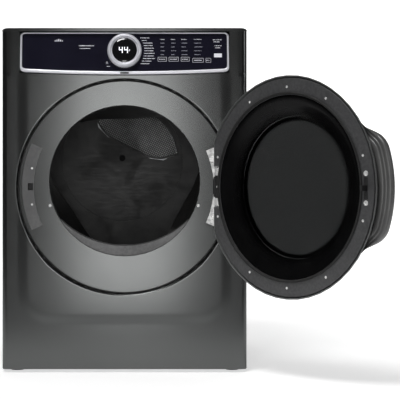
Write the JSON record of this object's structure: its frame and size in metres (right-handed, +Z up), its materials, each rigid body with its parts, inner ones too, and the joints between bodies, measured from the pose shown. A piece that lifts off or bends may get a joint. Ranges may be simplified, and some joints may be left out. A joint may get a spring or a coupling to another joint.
{
  "type": "clothes dryer",
  "caption": "Front-loading vented clothes dryer with an open round door, a perforated rear air grille, lifting drum vanes and a leaning control console with a rotary dial.",
  "frame": {"origin": "on the floor under the middle of the cabinet, 7 mm below the underside of the base pan", "axes": "+Z up, +Y from the front of the cabinet to its back, +X to the right as one faces the door"},
  "size_m": [1.0331, 1.1927, 0.965],
  "materials": {
    "titanium_paint": "satin grey enamel",
    "charcoal_plastic": "matt charcoal",
    "grey_plastic": "satin grey",
    "black_gloss": "gloss black",
    "black_plastic": "matt black",
    "smoked_glass": "smoked",
    "console_gloss": "gloss night blue",
    "chrome": "polished",
    "zinc_steel": "zinc plated",
    "galvanised": "galvanised sheet",
    "drum_steel": "dark porcelain coat",
    "vane_plastic": "dark grey",
    "rubber": "black"
  },
  "bodies": {
    "cabinet": {"console_trim": "chrome", "console_glass": "console_gloss", "console_tray": "charcoal_plastic", "dial_display": "smoked_glass", "base_pan": "galvanised", "left_side_panel": "titanium_paint", "right_side_panel": "titanium_paint", "rear_panel": "galvanised", "terminal_cover": "galvanised", "top_panel": "titanium_paint", "front_panel": "titanium_paint", "door_seat_ring": "titanium_paint", "throat_collar": "titanium_paint", "latch_cover": "grey_plastic", "door_latch": "black_plastic", "filter_housing": "grey_plastic", "lint_duct": "galvanised", "hinge_frame_leaf": "zinc_steel", "front_bulkhead": "galvanised", "rear_bulkhead": "galvanised", "vent_grille": "drum_steel", "steam_nozzle": "rubber", "drive_belt": "rubber", "drive_motor": "galvanised", "blower_housing": "black_plastic", "exhaust_duct": "galvanised", "heater_housing": "galvanised", "hot_air_duct": "galvanised", "water_valve": "black_plastic"},
    "door": {"door_outer_shell": "titanium_paint", "door_trim_ring": "chrome", "door_window": "smoked_glass", "door_handle": "titanium_paint", "door_inner_ring": "charcoal_plastic", "door_dish": "black_gloss", "door_seal": "rubber", "door_strike": "zinc_steel", "hinge_door_leaf": "black_plastic"},
    "drum_body": {"drum": "drum_steel", "first_vane": "vane_plastic", "second_vane": "vane_plastic", "third_vane": "vane_plastic"},
    "lint_filter_body": {"lint_filter": "charcoal_plastic"},
    "dial": {"cycle_dial": "chrome"},
    "idler_swing": {"idler_arm": "zinc_steel"},
    "idler_wheel": {"idler_pulley": "black_plastic"},
    "rotor": {"blower_wheel": "black_plastic"},
    "roller_left": {"left_roller": "rubber"},
    "roller_right": {"right_roller": "rubber"},
    "power_button": {"power_key": "console_gloss"},
    "dryness_button": {"dryness_key": "console_gloss"},
    "temperature_button": {"temperature_key": "console_gloss"},
    "time_button": {"time_key": "console_gloss"},
    "option_button": {"option_key": "console_gloss"},
    "lock_button": {"lock_key": "console_gloss"},
    "start_button": {"start_key": "console_gloss"},
    "front_left_leveller": {"front_left_foot": "rubber"},
    "front_right_leveller": {"front_right_foot": "rubber"},
    "rear_left_leveller": {"rear_left_foot": "rubber"},
    "rear_right_leveller": {"rear_right_foot": "rubber"}
  },
  "joints": [
    {"name": "door_hinge", "type": "hinge", "parent": "cabinet", "child": "door", "pos_m": [0.263, -0.3665, 0.52], "axis": [0, 0, 1], "range_deg": [-133, 0]},
    {"name": "drum_spin", "type": "hinge", "parent": "cabinet", "child": "drum_body", "pos_m": [0, 0, 0.537], "axis": [0, 1, 0], "continuous": true},
    {"name": "motor_spin", "type": "hinge", "parent": "cabinet", "child": "rotor", "pos_m": [0.13, 0, 0.115], "axis": [0, 1, 0], "continuous": true},
    {"name": "left_roller_spin", "type": "hinge", "parent": "cabinet", "child": "roller_left", "pos_m": [-0.19108, 0.282, 0.25372], "axis": [0, 1, 0], "continuous": true},
    {"name": "right_roller_spin", "type": "hinge", "parent": "cabinet", "child": "roller_right", "pos_m": [0.19108, 0.282, 0.25372], "axis": [0, 1, 0], "continuous": true},
    {"name": "idler_pivot", "type": "hinge", "parent": "cabinet", "child": "idler_swing", "pos_m": [0.094, 0.03, 0.1], "axis": [0, 1, 0], "range_deg": [-2, 0], "stiffness_Nm_per_rad": 3, "springref_deg": 8.59},
    {"name": "idler_spin", "type": "hinge", "parent": "idler_swing", "child": "idler_wheel", "pos_m": [0.00876, 0.02, 0.14387], "axis": [0, 1, 0], "continuous": true},
    {"name": "lint_filter_pull", "type": "slide", "parent": "cabinet", "child": "lint_filter_body", "axis": [0, 0, 1], "range_m": [0, 0.14]},
    {"name": "cycle_dial_turn", "type": "hinge", "parent": "cabinet", "child": "dial", "pos_m": [0, -0.37332, 0.90244], "axis": [0, -0.9903, 0.1392], "continuous": true},
    {"name": "power_press", "type": "slide", "parent": "cabinet", "child": "power_button", "axis": [0, 0.9903, -0.1392], "range_m": [0, 0.001], "stiffness_N_per_m": 600, "springref_m": -0.0005},
    {"name": "dryness_press", "type": "slide", "parent": "cabinet", "child": "dryness_button", "axis": [0, 0.9903, -0.1392], "range_m": [0, 0.001], "stiffness_N_per_m": 600, "springref_m": -0.0005},
    {"name": "temperature_press", "type": "slide", "parent": "cabinet", "child": "temperature_button", "axis": [0, 0.9903, -0.1392], "range_m": [0, 0.001], "stiffness_N_per_m": 600, "springref_m": -0.0005},
    {"name": "time_press", "type": "slide", "parent": "cabinet", "child": "time_button", "axis": [0, 0.9903, -0.1392], "range_m": [0, 0.001], "stiffness_N_per_m": 600, "springref_m": -0.0005},
    {"name": "option_press", "type": "slide", "parent": "cabinet", "child": "option_button", "axis": [0, 0.9903, -0.1392], "range_m": [0, 0.001], "stiffness_N_per_m": 600, "springref_m": -0.0005},
    {"name": "lock_press", "type": "slide", "parent": "cabinet", "child": "lock_button", "axis": [0, 0.9903, -0.1392], "range_m": [0, 0.001], "stiffness_N_per_m": 600, "springref_m": -0.0005},
    {"name": "start_press", "type": "slide", "parent": "cabinet", "child": "start_button", "axis": [0, 0.9903, -0.1392], "range_m": [0, 0.001], "stiffness_N_per_m": 600, "springref_m": -0.0005},
    {"name": "front_left_level", "type": "slide", "parent": "cabinet", "child": "front_left_leveller", "axis": [0, 0, 1], "range_m": [-0.012, 0]},
    {"name": "front_right_level", "type": "slide", "parent": "cabinet", "child": "front_right_leveller", "axis": [0, 0, 1], "range_m": [-0.012, 0]},
    {"name": "rear_left_level", "type": "slide", "parent": "cabinet", "child": "rear_left_leveller", "axis": [0, 0, 1], "range_m": [-0.012, 0]},
    {"name": "rear_right_level", "type": "slide", "parent": "cabinet", "child": "rear_right_leveller", "axis": [0, 0, 1], "range_m": [-0.012, 0]}
  ],
  "couplings": [
    {"joint": "motor_spin", "follows": "drum_spin", "ratio": 25.936},
    {"joint": "left_roller_spin", "follows": "drum_spin", "ratio": -14.509},
    {"joint": "right_roller_spin", "follows": "drum_spin", "ratio": -14.509},
    {"joint": "idler_spin", "follows": "drum_spin", "ratio": -17.867}
  ]
}
